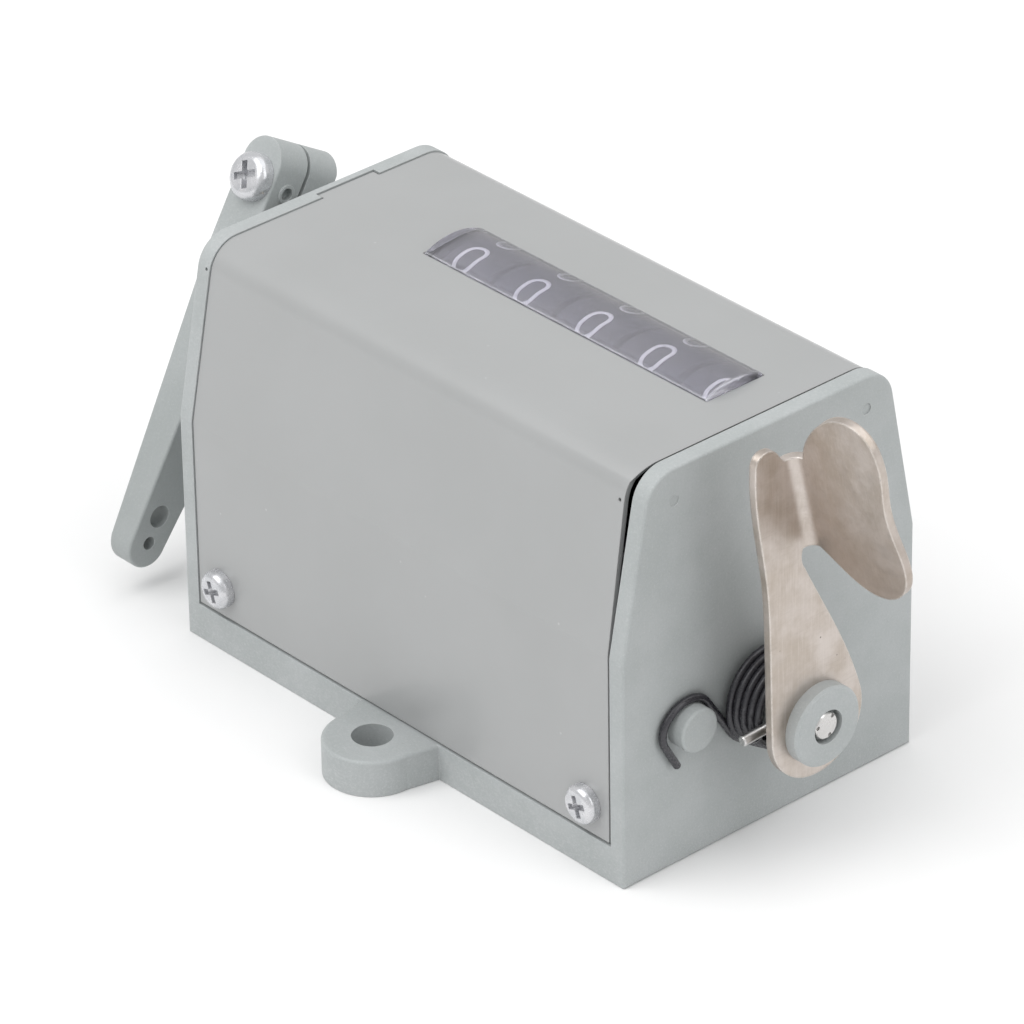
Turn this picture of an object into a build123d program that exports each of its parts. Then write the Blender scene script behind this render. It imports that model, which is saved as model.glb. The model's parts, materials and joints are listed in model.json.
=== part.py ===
from build123d import *
import os
from math import atan, atan2, cos, degrees, hypot, radians, sin

# Lever-driven five-digit tally counter.
# X runs along the body from the drive arm (-X) to the reset lever (+X), Y across it towards the reader (+Y),
# Z up. The origin is the centre of the base's underside. All sizes are in millimetres.

# ---- Body ----
LENGTH = 90.0
WIDTH = 53.0
HEIGHT = 60.7
KINK_Z = 34.7
TOP_WIDTH = 43.0
TOP_CORNER_R = 5.0
PLATE = 2.6
PLATE_EDGE_R = 0.4
EJECTOR_MARK = (17.3, 55.9)
EJECTOR_MARK_R = 0.8
EJECTOR_MARK_DEPTH = 0.15
POST_X = 33.5
POST_Y = 19.0
POST_Z = 15.5
PIT_R = 0.25
PLATE_PIT = (-43.0, -22.25, 56.8)
FLOOR = 3.0
RAIL_HEIGHT = 5.5
RAIL = 3.0
HALF = LENGTH / 2
INNER = HALF - PLATE

# ---- Mounting ears ----
EAR_R = 7.0
EAR_Y = 31.3
EAR_FLARE = 8.1
EAR_HOLE_R = 2.9
EAR_EDGE_R = 0.5

# ---- Cover, its screws and the lens ----
SHEET = 0.7
COVER_INSET = 0.2
COVER_LEFT = -INNER + 0.12
COVER_RIGHT = INNER - 0.5
COVER_BOTTOM = RAIL_HEIGHT + 0.3
COVER_TOP = HEIGHT - COVER_INSET
COVER_WEDGE = ((0.0, KINK_Z), (1.1, 56.0), (1.0, 58.4), (0.0, COVER_TOP - 0.05))
COVER_PIT = (40.0, -22.2, 55.9)
WINDOW_X = (-21.0, 35.1)
WINDOW_Y = (-2.2, 8.2)
TAB_Y = (-1.65, 8.4)
TAB_REACH = 1.1
TAB_CLEARANCE = 0.25
SCREW_X = 37.5
SCREW_Z = 10.2
SCREW_HEAD_R = 2.8
SCREW_HEAD_H = 1.9
SCREW_R = 1.5
SCREW_LENGTH = 7.0
SCREW_CLEARANCE = 0.25
LENS_CROWN_R = 11.0
LENS_SHOULDER_Z = HEIGHT
LENS_FLANGE = 0.5
LENS_EDGE_R = 0.4
LENS_LIP = 2.1

# ---- Number wheels and their shaft ----
WHEEL_Y = 3.0
WHEEL_Z = 47.4
WHEEL_R = 11.5
WHEEL_INNER_R = 10.2
WHEEL_WIDTH = 11.4
WHEEL_PITCH = 12.4
WHEEL_MIDDLE_X = 8.0
WHEEL_NAMES = ("units", "tens", "hundreds", "thousands", "ten_thousands")
WEB = 2.4
SHAFT_R = 1.5
PILOT_R = 1.0
RUNNING = 0.05
WHEEL_HUB_R = 2.45
WHEEL_EDGE = 0.15
GAP_PLATE = 0.6
RING_TEETH = 20
TRANSFER_TEETH = 6
TRANSFER_MODULE = 0.9
TRANSFER_CENTRE = (RING_TEETH - TRANSFER_TEETH) * TRANSFER_MODULE / 2
TRANSFER_NECK_R = 1.35
TRANSFER_PLATE_R = 10.6
KEY_BAR = (17.2, 47.0)
KEY_BAR_R = 1.6

# ---- Reset side ----
RESET_Y = -2.15
RESET_Z = 21.0
RESET_SHAFT_R = 2.5
RESET_BOSS_R = 4.4
RESET_BOSS_X = 51.2
RESET_BUSH_R = 3.3
LEVER_X = (55.0, 56.2)
FOOT_R = 8.15
CAP_R = 5.85
CAP_X = 58.3
STAKE_R = 2.0
PEG = (-15.5, 21.4)
PEG_R = 3.2
PEG_X = 48.0
PIN_R = 0.75
PIN_X = 52.55
PIN_REACH = 10.25
PIN_ANGLE = 182.7
RESET_WIRE_R = 0.55
RESET_COIL_R = (7.1, 5.9)
RESET_COIL_X = (45.7, 51.25)
RESET_COIL_START = 213.0
RESET_COIL_FINISH = PIN_ANGLE + 13.5
RESET_TURNS = 5
RESET_HOOK = ((-13.4, 25.35), (-17.5, 25.35), (-21.3, 22.0), (-17.7, 15.9))
RESET_HOOK_R = (2.6, 3.2, 2.6)
RESET_LEG = 2.4

# Thumb leaf: bent out of the lever along a line that leans with it.
LEAF_ORIGIN = (LEVER_X[1], -3.4, 48.7)
LEAF_LEAN = 13.06
LEAF_UP = Vector(0, -sin(radians(LEAF_LEAN)), cos(radians(LEAF_LEAN)))
LEAF_BEND_R = 1.6
LEAF_BEND = (0.2, 15.0)
LEAF_SHEET = LEVER_X[1] - LEVER_X[0]

# ---- Reset gearing ----
RESET_RATIO = 6
RESET_PINION_TEETH = 10
RESET_CENTRE = hypot(WHEEL_Y - RESET_Y, WHEEL_Z - RESET_Z)
MESH_ANGLE = degrees(atan2(WHEEL_Z - RESET_Z, WHEEL_Y - RESET_Y))
RESET_PINION_R = RESET_CENTRE / (RESET_RATIO + 1)
RESET_MODULE = 2 * RESET_PINION_R / RESET_PINION_TEETH
SECTOR_R = RESET_PINION_R * RESET_RATIO
SECTOR_X = (39.6, 41.2)
SECTOR_TEETH = 13

# ---- Drive side ----
DRIVE_SHAFT_R = 2.75
DRIVE_SHAFT_X = (-64.8, -27.5)
DRIVE_BUSH_R = 3.9
DRIVE_BOSS_R = 5.5
DRIVE_BOSS_X = -55.0
ARM_INNER_X = -56.8
ARM_LEAN = 31.03
ARM_HALF = 5.86
ARM_THICK = 7.4
ARM_TIP_THICK = 3.9
ARM_EDGE_R = 0.4
ARM_HEAD_END = 12.3
ARM_TAPER_START = -6.0
ARM_TIP_S = -48.0
ARM_TIP_T = -2.4
ARM_TIP_R = 3.4
LINK_HOLE_S = -43.5
LINK_HOLE_R = 1.7
PILOT_HOLE_S = -47.6
PILOT_HOLE_R = 1.0
DIMPLE = (5.6, -2.7)
DIMPLE_R = 0.95
DIMPLE_RIM_R = 1.4
DIMPLE_RIM = 0.25
DIMPLE_DEPTH = 0.8
SLIT = 0.66
CLAMP_S = 6.2
CLAMP_R = 2.0
CLAMP_HEAD_R = 3.5
CLAMP_HEAD_H = 2.3
DRIVE_WIRE_R = 0.6
DRIVE_COIL_R = 5.0
DRIVE_COIL_X = (-40.2, -32.0)
CARRIER_X = (-30.6, -29.0)
RATCHET_X = (-25.6, -24.1)
RATCHET_R = 8.0
RATCHET_ROOT_R = 6.5
RATCHET_TEETH = 10
PAWL_GAP = 0.3
PAWL_PIVOT_R = 10.2
PAWL_PIVOT_ANGLE = 200.0
PAWL_NOSE_ANGLE = 160.0
PAWL_STUD_R = 1.2
DETENT = (17.2, 37.0)
DETENT_STUD_R = 1.5

SLOPE_NORMAL = (0, KINK_Z - HEIGHT, (WIDTH - TOP_WIDTH) / 2)
MIN = Align.MIN
MID = Align.CENTER


def wheel_x(index):
    """Middle of a number wheel, counted from the units wheel on the left."""
    return WHEEL_MIDDLE_X + WHEEL_PITCH * (index - 2)


def polar(radius, angle, centre=(0.0, 0.0)):
    """A (y, z) point at a radius and an angle in degrees from +Y towards +Z."""
    return (centre[0] + radius * cos(radians(angle)), centre[1] + radius * sin(radians(angle)))


def rod(centre, radius, x0, x1):
    """A cylinder along X between two stations."""
    return Pos(x0, centre[0], centre[1]) * Rot(0, 90, 0) * Cylinder(radius, x1 - x0, align=(MID, MID, MIN))


def tube(centre, outer, inner, x0, x1):
    """A ring along X between two stations."""
    return rod(centre, outer, x0, x1) - rod(centre, inner, x0 - 1, x1 + 1)


def slab(outline, x0, x1):
    """A (y, z) sketch given thickness along X."""
    return extrude(Plane.YZ.offset(x0) * outline, x1 - x0)


def block(x, y, z):
    """A box between the low and high values of each axis."""
    size = (x[1] - x[0], y[1] - y[0], z[1] - z[0])
    return Pos(x[0], y[0], z[0]) * Box(*size, align=(MIN, MIN, MIN))


def area(*edges):
    """The flat face inside a closed run of edges."""
    return make_face(Curve() + list(edges))


def polygon(points):
    """The flat face inside straight edges, points given in order."""
    return make_face(Polyline(*points, close=True))


def toothed(radii, widths, angles):
    """Points round a gear: each tooth has a root, pitch and tip width, at the three radii given."""
    points = []
    for angle in angles:
        for side in (-1, 1):
            order = (0, 1, 2) if side < 0 else (2, 1, 0)
            for step in order:
                lean = degrees(side * widths[step] / 2 / radii[step])
                points.append(polar(radii[step], angle + lean))
    return points


def wire(path, radius):
    """Round wire along one smooth path."""
    return sweep(Plane(path @ 0, z_dir=path % 0) * Circle(radius), path=path)


def coil(centre, radii, wire_r, x0, x1, turns, start_angle):
    """Round wire wound about X from x0 to x1, turning from +Y towards +Z; radii are (at x0, at x1)."""
    cone = atan((radii[1] - radii[0]) / (x1 - x0))
    length = (x1 - x0) / cos(cone)
    helix = Helix(length / turns, length, radii[0], cone_angle=degrees(cone))
    turned = Pos(x0, centre[0], centre[1]) * Rot(start_angle, 0, 0) * Rot(0, 90, 0) * Rot(0, 0, 90) * helix
    return sweep(Plane(turned @ 0, z_dir=turned % 0) * Circle(wire_r), path=turned, is_frenet=True)


def pan_screw(head_r, head_h, shank_r, length):
    """A cross-recessed pan-head screw along Z, seated at z = 0 with its head above."""
    head = Cylinder(head_r, head_h, align=(MID, MID, MIN))
    head = fillet(head.edges().group_by(Axis.Z)[-1], head_h * 0.55)
    depth = head_h * 0.62
    recess = Part()
    for turn in (0, 90):
        slot = Pos(0, 0, head_h) * Rot(0, 0, turn) * Box(head_r * 1.15, head_r * 0.3, depth * 2)
        recess += chamfer(slot.edges().filter_by(Axis.Y if turn == 0 else Axis.X), head_r * 0.2)
    shank = Pos(0, 0, -length) * Cylinder(shank_r, length + 0.1, align=(MID, MID, MIN))
    return head - recess + shank


def body_outline(inset=0.0):
    """The end view of the body, with an optional inset all round."""
    side = WIDTH / 2 - inset
    top = TOP_WIDTH / 2 - inset
    low = inset
    high = HEIGHT - inset
    face = polygon([(-side, low), (side, low), (side, KINK_Z), (top, high), (-top, high), (-side, KINK_Z)])
    return fillet(face.vertices().group_by(Axis.Y)[-1], TOP_CORNER_R - inset)


def end_plate(side):
    """One end plate with its outer rim rounded; side is -1 for the drive end and 1 for the reset end."""
    x0 = INNER if side > 0 else -HALF
    plate = slab(body_outline(), x0, x0 + PLATE)
    rim = plate.faces().sort_by(Axis.X)[-1 if side > 0 else 0]
    return fillet(rim.edges(), PLATE_EDGE_R)


def base():
    """Floor, rails and the two ears as one tray."""
    half_ear = [(0, 0), (EAR_FLARE, 0), (EAR_FLARE, WIDTH / 2), (EAR_R, EAR_Y), (0, EAR_Y)]
    ear = polygon(half_ear)
    ear += mirror(ear, Plane.YZ)
    ear += Pos(0, EAR_Y) * Circle(EAR_R)
    plan = Rectangle(2 * INNER, WIDTH) + ear + mirror(ear, Plane.XZ)
    tray = extrude(plan, RAIL_HEIGHT)
    ears = [edge for edge in tray.edges().group_by(Axis.Z)[-1] if abs(edge.center().Y) > WIDTH / 2 + 0.5]
    tray = fillet(ears, EAR_EDGE_R)
    tray -= block((-INNER, INNER), (-WIDTH / 2 + RAIL, WIDTH / 2 - RAIL), (FLOOR, RAIL_HEIGHT + 1))
    for side in (-1, 1):
        tray -= Pos(0, side * EAR_Y, -1) * Cylinder(EAR_HOLE_R, RAIL_HEIGHT + 2, align=(MID, MID, MIN))
    return tray


def frame():
    """Base tray, end plates, bosses, peg and the posts that take the cover screws."""
    part = base() + end_plate(-1) + end_plate(1)
    post_y = (POST_Y, WIDTH / 2 - COVER_INSET - SHEET - 0.1)
    mark_middle = HALF - EJECTOR_MARK_DEPTH / 2
    for x_side in (-1, 1):
        for y_side in (-1, 1):
            x = sorted((x_side * POST_X, x_side * (INNER + 0.5)))
            y = sorted((y_side * post_y[0], y_side * post_y[1]))
            part += block(x, y, (FLOOR - 0.5, POST_Z))
            hole = Cylinder(SCREW_R, SCREW_LENGTH, align=(MID, MID, MIN))
            part -= Plane((x_side * SCREW_X, y_side * post_y[1], SCREW_Z), z_dir=(0, -y_side, 0)) * hole
            mark = Pos(x_side * mark_middle, y_side * EJECTOR_MARK[0], EJECTOR_MARK[1]) * Rot(0, 90, 0)
            part -= mark * Cylinder(EJECTOR_MARK_R, EJECTOR_MARK_DEPTH)
    part -= Plane(PLATE_PIT, z_dir=SLOPE_NORMAL) * Cylinder(PIT_R, 1.0)
    axis = (WHEEL_Y, WHEEL_Z)
    reset = (RESET_Y, RESET_Z)
    peg = rod(PEG, PEG_R, HALF - 0.5, PEG_X)
    part += fillet(peg.edges().group_by(Axis.X)[-1], 0.4)
    part += rod(reset, RESET_BOSS_R, HALF - 0.5, RESET_BOSS_X)
    part += rod(axis, DRIVE_BOSS_R, DRIVE_BOSS_X, -HALF + 0.5)
    part -= rod(reset, RESET_BUSH_R, INNER - 1, RESET_BOSS_X + 1)
    part -= rod(axis, DRIVE_BUSH_R, DRIVE_BOSS_X - 1, -INNER + 1)
    part -= rod(axis, SHAFT_R + RUNNING, INNER - 1, HALF - 0.6)
    for point, radius in ((KEY_BAR, KEY_BAR_R), (DETENT, DETENT_STUD_R)):
        part -= rod(point, radius, -INNER - 1.2, -INNER + 1)
    part -= rod(KEY_BAR, KEY_BAR_R, INNER - 1, INNER + 1.2)
    part -= rod(polar(DRIVE_COIL_R, 0, axis), DRIVE_WIRE_R + RUNNING, -INNER - 1.7, -INNER + 1)
    notch = (TAB_Y[0] - TAB_CLEARANCE, TAB_Y[1] + TAB_CLEARANCE)
    part -= block((-INNER - TAB_REACH - 0.2, -INNER + 1), notch, (COVER_TOP - SHEET - 0.1, HEIGHT + 1))
    return part


def cover():
    """Bent sheet over both sides and the top, with the display cut-out, screw holes and a tab.

    Its right edge draws back from the end plate towards the upper bends."""
    outer = body_outline(COVER_INSET)
    inner = body_outline(COVER_INSET + SHEET)
    shell = slab(outer - inner, COVER_LEFT, COVER_RIGHT)
    shell -= block((-HALF, HALF), (-WIDTH, WIDTH), (-1, COVER_BOTTOM))
    shell += block((-INNER - TAB_REACH, COVER_LEFT + 1), TAB_Y, (COVER_TOP - SHEET, COVER_TOP))
    shell -= block(WINDOW_X, WINDOW_Y, (COVER_TOP - 3, COVER_TOP + 1))
    for x in (-SCREW_X, SCREW_X):
        shell -= Pos(x, 0, SCREW_Z) * Rot(90, 0, 0) * Cylinder(SCREW_R + SCREW_CLEARANCE, WIDTH + 2)
    wedge = [(COVER_RIGHT - depth, z) for depth, z in COVER_WEDGE]
    shell -= extrude(Plane.XZ * polygon(wedge), WIDTH, both=True)
    return shell - Plane(COVER_PIT, z_dir=SLOPE_NORMAL) * Cylinder(PIT_R, 4 * SHEET)


def cover_screws():
    """The four screws that hold the cover, two on each side."""
    screw = pan_screw(SCREW_HEAD_R, SCREW_HEAD_H, SCREW_R, SCREW_LENGTH)
    seat = WIDTH / 2 - COVER_INSET
    screws = []
    for side in (-1, 1):
        for x in (-SCREW_X, SCREW_X):
            screws.append(Plane((x, side * seat, SCREW_Z), x_dir=(1, 0, 0.35), z_dir=(0, side, 0)) * screw)
    return screws


def lens_section():
    """Cross-section of the magnifying lens, flat below and crowned above."""
    left = WINDOW_Y[0] + 0.1
    right = WINDOW_Y[1] - 0.1
    middle = (left + right) / 2
    half = (right - left) / 2
    top = LENS_SHOULDER_Z + LENS_CROWN_R - (LENS_CROWN_R ** 2 - half ** 2) ** 0.5
    bottom = COVER_TOP - SHEET - LENS_FLANGE
    return area(
        Polyline((left, LENS_SHOULDER_Z), (left, bottom), (right, bottom), (right, LENS_SHOULDER_Z)),
        ThreePointArc((right, LENS_SHOULDER_Z), (middle, top), (left, LENS_SHOULDER_Z)),
    )


def window_lens():
    """Clear magnifying bar that stands a little proud of the cover, its flange glued under the sheet."""
    x = (WINDOW_X[0] + 0.15, WINDOW_X[1] - 0.15)
    dome = slab(lens_section(), *x)
    dome = fillet(dome.edges().group_by(Axis.Z)[-1], LENS_EDGE_R)
    flange_z = (COVER_TOP - SHEET - LENS_FLANGE, COVER_TOP - SHEET)
    y = (WINDOW_Y[0] - LENS_LIP, WINDOW_Y[1] + LENS_LIP)
    return dome + block((x[0] - LENS_LIP, x[1] + LENS_LIP), y, flange_z)


def number_wheel(index):
    """Drum with a web and hub. All but the first have an inner ring gear; all but the last, two teeth."""
    axis = Pos(0, WHEEL_Y, WHEEL_Z)
    x = wheel_x(index)
    half = WHEEL_WIDTH / 2
    drum = tube((0, 0), WHEEL_R, WHEEL_INNER_R, x - half, x + half)
    rims = drum.edges().filter_by(GeomType.CIRCLE).filter_by(lambda edge: edge.radius > WHEEL_R - 0.01)
    drum = chamfer(rims, WHEEL_EDGE)
    drum += tube((0, 0), WHEEL_INNER_R + 0.1, WHEEL_HUB_R - 0.1, x - WEB / 2, x + WEB / 2)
    drum += tube((0, 0), WHEEL_HUB_R, SHAFT_R + RUNNING, x - WEB / 2, x + half - 0.3)
    pitch_r = RING_TEETH * TRANSFER_MODULE / 2
    radii = (WHEEL_INNER_R + 0.05, pitch_r, pitch_r - 0.8)
    widths = (1.5, 1.0, 0.5)
    step = 360 / RING_TEETH
    if index > 0:
        for tooth in range(RING_TEETH):
            outline = polygon(toothed(radii, widths, [(tooth + 0.5) * step]))
            drum += slab(outline, x - half, x - half + 2.4)
    if index < len(WHEEL_NAMES) - 1:
        for tooth in (0.5, 1.5):
            outline = polygon(toothed(radii, widths, [90 + tooth * step]))
            drum += slab(outline, x + WEB / 2 - 0.1, x + WEB / 2 + 2.1)
    return axis * drum


def zero_leaf(index):
    """Flat spring on a wheel's web, its nose resting just off the shaft until the groove comes round."""
    x0 = wheel_x(index) - WEB / 2 - 1.7
    strip = polygon([(-7, 2), (-0.9, 2), (-0.5, 1.7), (0.5, 1.7), (0.9, 2), (1.4, 2.35), (-7, 2.35)])
    leaf = slab(strip, x0, x0 + 1.4)
    leaf += block((x0, x0 + 1.7), (-8.2, -6.2), (1.2, 3.2))
    return Pos(0, WHEEL_Y, WHEEL_Z) * leaf


def transfer_plate(index):
    """Still plate between two drums, keyed to the bar, with a snap slot for its pinion's neck."""
    x = wheel_x(index) + WHEEL_PITCH / 2
    disc = Circle(TRANSFER_PLATE_R)
    bar = (KEY_BAR[0] - WHEEL_Y, KEY_BAR[1] - WHEEL_Z)
    disc += Pos(*bar) * Circle(KEY_BAR_R + 1.6)
    disc += polygon([(5, -4), (bar[0], bar[1] - 3), (bar[0], bar[1] + 3), (5, 4)])
    disc -= Pos(*bar) * Circle(KEY_BAR_R)
    disc -= Circle(SHAFT_R + 0.2)
    disc -= Pos(-TRANSFER_CENTRE, 0) * Circle(TRANSFER_NECK_R + 0.08)
    disc -= Pos(-10, 0) * Rectangle(2 * (10 - TRANSFER_CENTRE), 2.2)
    return Pos(0, WHEEL_Y, WHEEL_Z) * slab(disc, x - GAP_PLATE / 2, x + GAP_PLATE / 2)


def transfer_pinion(index):
    """Six-tooth pinion whose neck turns in its plate's slot."""
    x = wheel_x(index) + WHEEL_PITCH / 2
    pitch_r = TRANSFER_TEETH * TRANSFER_MODULE / 2
    angles = [180 + tooth * 360 / TRANSFER_TEETH for tooth in range(TRANSFER_TEETH)]
    outline = polygon(toothed((1.55, pitch_r, pitch_r + 0.75), (1.25, 0.85, 0.4), angles))
    pinion = slab(outline, x - 2.6, x - 0.55) + slab(outline, x + 0.55, x + 2.8)
    pinion += rod((0, 0), TRANSFER_NECK_R, x - 1, x + 1)
    return Pos(0, WHEEL_Y - TRANSFER_CENTRE, WHEEL_Z) * pinion


def wheel_shaft():
    """Grooved shaft, piloted in the drive shaft on the left and in the reset end plate on the right."""
    axis = (WHEEL_Y, WHEEL_Z)
    shaft = rod(axis, SHAFT_R, DRIVE_SHAFT_X[1] + 0.3, HALF - 0.8)
    shaft += rod(axis, PILOT_R, DRIVE_SHAFT_X[1] - 2.8, DRIVE_SHAFT_X[1] + 1)
    bottom = WHEEL_Z - SHAFT_R
    groove = block((-22, 38), (WHEEL_Y - 0.3, WHEEL_Y + 0.3), (bottom - 1, bottom + 0.4))
    return shaft - groove


def reset_pinion():
    """Ten-tooth pinion pressed on the wheel shaft."""
    m = RESET_MODULE
    radii = (RESET_PINION_R - 1.2 * m, RESET_PINION_R, RESET_PINION_R + m * 0.9)
    angles = [MESH_ANGLE + 180 + tooth * 360 / RESET_PINION_TEETH for tooth in range(RESET_PINION_TEETH)]
    outline = polygon(toothed(radii, (1.6 * m, 1.15 * m, 0.5 * m), angles))
    gear = slab(outline - Circle(SHAFT_R), SECTOR_X[0] - 0.3, SECTOR_X[1] + 0.3)
    return Pos(0, WHEEL_Y, WHEEL_Z) * gear


def reset_sector():
    """Toothed sector on the reset shaft; one lever stroke turns the wheel shaft once."""
    m = RESET_MODULE
    step = 360 / (RESET_PINION_TEETH * RESET_RATIO)
    last = MESH_ANGLE + 1.5 * step
    first = last - (SECTOR_TEETH - 1) * step
    angles = [first + tooth * step for tooth in range(SECTOR_TEETH)]
    radii = (SECTOR_R - 1.2 * m, SECTOR_R, SECTOR_R + m * 0.9)
    rim = toothed(radii, (1.7 * m, 1.15 * m, 0.5 * m), angles)
    plate = polygon([polar(3, first - 60)] + rim + [polar(3, last + 60)])
    plate = slab(plate, *SECTOR_X) + rod((0, 0), RESET_BOSS_R, SECTOR_X[0] - 1.2, SECTOR_X[1] + 0.4)
    plate -= rod((0, 0), RESET_SHAFT_R, SECTOR_X[0] - 2, SECTOR_X[1] + 1)
    middle = (first + last) / 2
    for turn in (-18, 18):
        plate -= rod(polar(14, middle + turn), 3.2, SECTOR_X[0] - 1, SECTOR_X[1] + 1)
    plate = Pos(0, RESET_Y, RESET_Z) * plate
    return plate - sector_pin()


def sector_pin():
    """Cross pin through the sector's hub and the reset shaft."""
    pin = Cylinder(0.5, 2 * RESET_BOSS_R)
    return Plane((SECTOR_X[0] - 0.6, RESET_Y, RESET_Z), z_dir=(0, 1, 0)) * pin


def reset_pin():
    """Radial spring pin that the reset spring's free leg pushes up."""
    direction = (0, cos(radians(PIN_ANGLE)), sin(radians(PIN_ANGLE)))
    pin = Cylinder(PIN_R, PIN_REACH, align=(MID, MID, MIN))
    pin = chamfer(pin.edges().group_by(Axis.Z)[-1], 0.15)
    return Plane((PIN_X, RESET_Y, RESET_Z), z_dir=direction) * pin


def reset_shaft():
    """Stepped shaft, staked over the lever at its outer end."""
    axis = (RESET_Y, RESET_Z)
    shaft = rod(axis, RESET_SHAFT_R, SECTOR_X[0] - 1.2, LEVER_X[0])
    tip = rod(axis, STAKE_R, LEVER_X[0] - 0.5, CAP_X - 0.3)
    shaft += chamfer(tip.edges().group_by(Axis.X)[-1], 0.2)
    for turn in (50, 170, 290):
        mark = polar(STAKE_R * 0.8, turn, axis)
        shaft -= rod(mark, 0.28, CAP_X - 0.7, CAP_X)
    return shaft - reset_pin() - sector_pin()


def reset_hub():
    """Grey hub behind the lever that carries the radial pin."""
    axis = (RESET_Y, RESET_Z)
    return tube(axis, RESET_BOSS_R, RESET_SHAFT_R, RESET_BOSS_X + 0.25, LEVER_X[0]) - reset_pin()


def reset_cap():
    """Chamfered cap disc with a counterbore round the staked shaft end."""
    axis = (RESET_Y, RESET_Z)
    disc = rod(axis, CAP_R, LEVER_X[1], CAP_X)
    disc = chamfer(disc.edges().group_by(Axis.X)[-1], 0.35)
    disc -= rod(axis, STAKE_R, LEVER_X[1] - 1, CAP_X)
    return disc - rod(axis, STAKE_R + 0.5, LEVER_X[1] + 0.5, CAP_X + 1)


def leaf_plane(shift=0.0):
    """Plane of the leaf: local x outwards (+X), local y up the bend line, normal towards -Y."""
    origin = Vector(*LEAF_ORIGIN) + LEAF_UP * shift
    return Plane(origin, x_dir=(1, 0, 0), z_dir=Vector(1, 0, 0).cross(LEAF_UP))


def lever_flat():
    """Flat part of the lever: a round foot on the shaft, a tapering blade and a prong beside the bend."""
    axis = (RESET_Y, RESET_Z)
    lean = radians(LEAF_LEAN)
    root = (LEAF_ORIGIN[1] - LEAF_BEND_R * cos(lean), LEAF_ORIGIN[2] - LEAF_BEND_R * sin(lean))
    bend = [(root[0] - step * sin(lean), root[1] + step * cos(lean)) for step in LEAF_BEND]
    left = polar(FOOT_R, 178, axis)
    right = polar(FOOT_R, 14, axis)
    outline = area(
        ThreePointArc(left, polar(FOOT_R, 276, axis), right),
        Spline(right, (3.7, 28.7), (0.0, 36.5), (-4.6, 45.4)),
        Spline((-4.6, 45.4), (-5.2, 46.9), bend[0]),
        Line(bend[0], bend[1]),
        Spline(bend[1], (-9.0, 63.5), (-10.1, 65.0), (-12.1, 65.4), (-13.5, 63.8)),
        Spline((-13.5, 63.8), (-12.9, 54.6), (-11.3, 44.9), (-10.8, 38.0), left),
    )
    outline -= Pos(*axis) * Circle(STAKE_R)
    return slab(outline, *LEVER_X)


def lever_leaf():
    """Thumb leaf and the quarter bend that joins it to the flat part."""
    points = [
        (LEAF_BEND_R, LEAF_BEND[1]), (2.5, 17.7), (4.0, 20.2), (6.3, 22.8), (9.2, 24.8), (12.3, 25.4),
        (14.9, 24.3), (16.4, 21.2), (16.4, 16.3), (16.1, 12.5), (16.8, 8.3), (17.8, 4.2), (17.1, 0.2),
        (14.0, -2.7), (9.5, -3.3), (4.8, -1.5), (LEAF_BEND_R, LEAF_BEND[0]),
    ]
    leaf = extrude(leaf_plane() * area(Spline(*points), Line(points[-1], points[0])), -LEAF_SHEET)
    outer = LEAF_BEND_R + LEAF_SHEET
    centre = (LEAF_BEND_R, LEAF_BEND_R)
    low = Plane(leaf_plane(LEAF_BEND[0]).origin, x_dir=(1, 0, 0), z_dir=LEAF_UP)
    ring = Pos(centre[0], -centre[1]) * (Circle(outer) - Circle(LEAF_BEND_R))
    quarter = ring & (Pos(centre[0], -centre[1]) * Rectangle(outer, outer, align=(Align.MAX, MIN)))
    return leaf + extrude(low * quarter, LEAF_BEND[1] - LEAF_BEND[0])


def reset_lever():
    """Pressed sheet-steel lever, flat blade and thumb leaf in one piece."""
    return lever_flat() + lever_leaf()


def reset_spring():
    """Torsion spring round the boss: one leg hooks over the peg, the other lies under the radial pin."""
    axis = (RESET_Y, RESET_Z)
    turns = RESET_TURNS + (RESET_COIL_FINISH - RESET_COIL_START) / 360
    body = coil(axis, RESET_COIL_R, RESET_WIRE_R, *RESET_COIL_X, turns, RESET_COIL_START)
    leg_plane = Plane.YZ.offset(RESET_COIL_X[0])
    root = polar(RESET_COIL_R[0], RESET_COIL_START, axis)
    hook = leg_plane * FilletPolyline(root, *RESET_HOOK, radius=list(RESET_HOOK_R))
    body += wire(hook, RESET_WIRE_R) + leg_plane * Pos(*root) * Sphere(RESET_WIRE_R)
    tip = polar(RESET_COIL_R[1], RESET_COIL_FINISH, axis)
    out = polar(RESET_COIL_R[1] + RESET_LEG, RESET_COIL_FINISH - 3, axis)
    end_plane = Plane.YZ.offset(RESET_COIL_X[1])
    body += wire(end_plane * Line(tip, out), RESET_WIRE_R)
    return body + end_plane * Pos(*tip) * Sphere(RESET_WIRE_R)


def arm_plane(x=ARM_INNER_X):
    """Plane of the drive arm: local x up the arm, local y towards its back edge, normal to -X."""
    lean = radians(ARM_LEAN)
    return Plane((x, WHEEL_Y, WHEEL_Z), x_dir=(0, sin(lean), cos(lean)), z_dir=(-1, 0, 0))


def arm_side_outline():
    """Arm seen along X: parallel head, straight front, tapering back, round tip."""
    front = (ARM_TIP_S, ARM_TIP_T - ARM_TIP_R)
    back = (ARM_TIP_S, ARM_TIP_T + ARM_TIP_R)
    head = [(ARM_HEAD_END, -ARM_HALF), (ARM_HEAD_END, ARM_HALF), (ARM_TAPER_START, ARM_HALF)]
    return area(
        Polyline(front, *head, back),
        ThreePointArc(back, (ARM_TIP_S - ARM_TIP_R, ARM_TIP_T), front),
    )


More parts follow.
